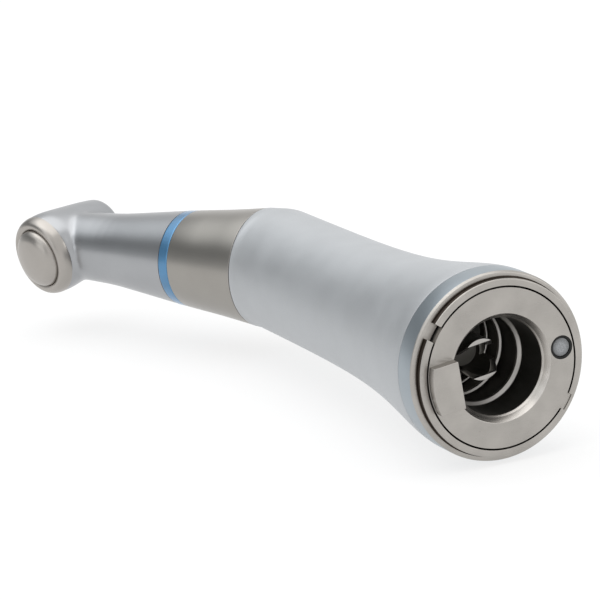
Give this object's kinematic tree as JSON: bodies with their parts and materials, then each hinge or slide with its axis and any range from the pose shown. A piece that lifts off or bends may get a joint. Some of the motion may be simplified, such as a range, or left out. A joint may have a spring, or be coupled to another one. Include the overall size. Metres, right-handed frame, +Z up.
{
  "type": "contra angle handpiece",
  "caption": "Angled dental handpiece: flared motor end with keyed socket, slim grip, bent neck with colour ring, and a small push-button head that grips a bur.",
  "frame": {"origin": "under the middle of the handpiece, on the surface that it lies on", "axes": "+X along the handle from the motor coupling to the elbow, +Y to the side that the neck bends to, +Z up"},
  "size_m": [0.089, 0.0314, 0.0203],
  "materials": {
    "sheath_metal": "fine glass-bead blasted, cool silver",
    "band_metal": "smooth satin, slightly darker blue-grey",
    "steel": "turned stainless steel, satin",
    "bearing_steel": "ground and polished",
    "gear_steel": "hardened, machined",
    "dark_steel": "hardened and darkened",
    "head_metal": "satin chrome plating",
    "button_metal": "fine turned dome, warm steel",
    "ring_colour": "blue speed-code ring, satin lacquer",
    "light_glass": "polished ends of a glass rod",
    "nut_brass": "turned",
    "cage_polymer": "moulded cage with its steel balls",
    "seal_rubber": "moulded o-ring"
  },
  "bodies": {
    "handpiece": {"grip_sheath": "sheath_metal", "end_band": "band_metal", "lock_ring": "steel", "steel_sleeve": "steel", "colour_ring": "ring_colour", "neck_head_housing": "head_metal", "coupling_insert": "steel", "rear_light_window": "light_glass", "light_rod": "light_glass", "front_light_window": "light_glass", "water_tube": "steel", "air_tube": "steel", "spray_nozzle": "steel", "bearing_clip": "steel", "drive_carrier": "dark_steel", "carrier_nut": "nut_brass", "neck_carrier": "dark_steel", "button_seat": "steel", "head_cap": "head_metal", "sleeve_seal": "seal_rubber", "rear_bearing_outer_ring": "bearing_steel", "elbow_bearing_outer_ring": "bearing_steel", "neck_rear_bearing_outer_ring": "bearing_steel", "neck_front_bearing_outer_ring": "bearing_steel", "nose_bearing_outer_ring": "bearing_steel", "cap_bearing_outer_ring": "bearing_steel"},
    "drive_shaft": {"drive_shaft": "steel", "drive_gear": "gear_steel", "rear_bearing_inner_ring": "bearing_steel", "elbow_bearing_inner_ring": "bearing_steel"},
    "fork": {"drive_fork": "steel", "fork_spring": "steel"},
    "neck_shaft": {"neck_shaft": "steel", "neck_rear_gear": "gear_steel", "neck_front_gear": "gear_steel", "neck_rear_bearing_inner_ring": "bearing_steel", "neck_front_bearing_inner_ring": "bearing_steel"},
    "spindle": {"spindle": "steel", "bur_chuck": "dark_steel", "spindle_gear": "gear_steel", "nose_bearing_inner_ring": "bearing_steel", "cap_bearing_inner_ring": "bearing_steel"},
    "push_button": {"push_button": "button_metal", "button_spring": "steel"},
    "release_pin": {"release_pin": "steel"},
    "rear_bearing_cage": {"rear_bearing_cage": "cage_polymer"},
    "elbow_bearing_cage": {"elbow_bearing_cage": "cage_polymer"},
    "neck_rear_bearing_cage": {"neck_rear_bearing_cage": "cage_polymer"},
    "neck_front_bearing_cage": {"neck_front_bearing_cage": "cage_polymer"},
    "nose_bearing_cage": {"nose_bearing_cage": "cage_polymer"},
    "cap_bearing_cage": {"cap_bearing_cage": "cage_polymer"}
  },
  "joints": [
    {"name": "drive_spin", "type": "hinge", "parent": "handpiece", "child": "drive_shaft", "pos_m": [-0.04305, -0.00557, 0.01015], "axis": [1, 0, 0], "continuous": true},
    {"name": "fork_slide", "type": "slide", "parent": "drive_shaft", "child": "fork", "axis": [1, 0, 0], "range_m": [0, 0.001], "stiffness_N_per_m": 600, "springref_m": -0.001, "deforming": ["fork_spring"]},
    {"name": "neck_spin", "type": "hinge", "parent": "handpiece", "child": "neck_shaft", "pos_m": [0.01015, -0.00557, 0.01015], "axis": [0.8942, 0.4478, 0], "continuous": true},
    {"name": "spindle_spin", "type": "hinge", "parent": "handpiece", "child": "spindle", "pos_m": [0.03953, 0.00914, 0.01015], "axis": [-0.2635, 0.9524, -0.1536], "continuous": true},
    {"name": "button_press", "type": "slide", "parent": "handpiece", "child": "push_button", "axis": [0.2635, -0.9524, 0.1536], "range_m": [0, 0.0006], "stiffness_N_per_m": 3000, "springref_m": -0.0006, "deforming": ["button_spring"]},
    {"name": "release_travel", "type": "slide", "parent": "spindle", "child": "release_pin", "axis": [0.2635, -0.9524, 0.1536], "range_m": [0, 0.00045]},
    {"name": "rear_bearing_roll", "type": "hinge", "parent": "handpiece", "child": "rear_bearing_cage", "pos_m": [-0.04305, -0.00557, 0.01015], "axis": [1, 0, 0], "continuous": true},
    {"name": "elbow_bearing_roll", "type": "hinge", "parent": "handpiece", "child": "elbow_bearing_cage", "pos_m": [-0.04305, -0.00557, 0.01015], "axis": [1, 0, 0], "continuous": true},
    {"name": "neck_rear_bearing_roll", "type": "hinge", "parent": "handpiece", "child": "neck_rear_bearing_cage", "pos_m": [0.01015, -0.00557, 0.01015], "axis": [0.8942, 0.4478, 0], "continuous": true},
    {"name": "neck_front_bearing_roll", "type": "hinge", "parent": "handpiece", "child": "neck_front_bearing_cage", "pos_m": [0.01015, -0.00557, 0.01015], "axis": [0.8942, 0.4478, 0], "continuous": true},
    {"name": "nose_bearing_roll", "type": "hinge", "parent": "handpiece", "child": "nose_bearing_cage", "pos_m": [0.03953, 0.00914, 0.01015], "axis": [-0.2635, 0.9524, -0.1536], "continuous": true},
    {"name": "cap_bearing_roll", "type": "hinge", "parent": "handpiece", "child": "cap_bearing_cage", "pos_m": [0.03953, 0.00914, 0.01015], "axis": [-0.2635, 0.9524, -0.1536], "continuous": true}
  ],
  "couplings": [
    {"joint": "neck_spin", "follows": "drive_spin", "ratio": 1},
    {"joint": "spindle_spin", "follows": "drive_spin", "ratio": -1},
    {"joint": "release_travel", "follows": "button_press", "ratio": 0.75},
    {"joint": "rear_bearing_roll", "follows": "drive_spin", "ratio": 0.3815},
    {"joint": "elbow_bearing_roll", "follows": "drive_spin", "ratio": 0.3965},
    {"joint": "neck_rear_bearing_roll", "follows": "drive_spin", "ratio": 0.3896},
    {"joint": "neck_front_bearing_roll", "follows": "drive_spin", "ratio": 0.3896},
    {"joint": "nose_bearing_roll", "follows": "drive_spin", "ratio": -0.4256},
    {"joint": "cap_bearing_roll", "follows": "drive_spin", "ratio": -0.4256}
  ]
}
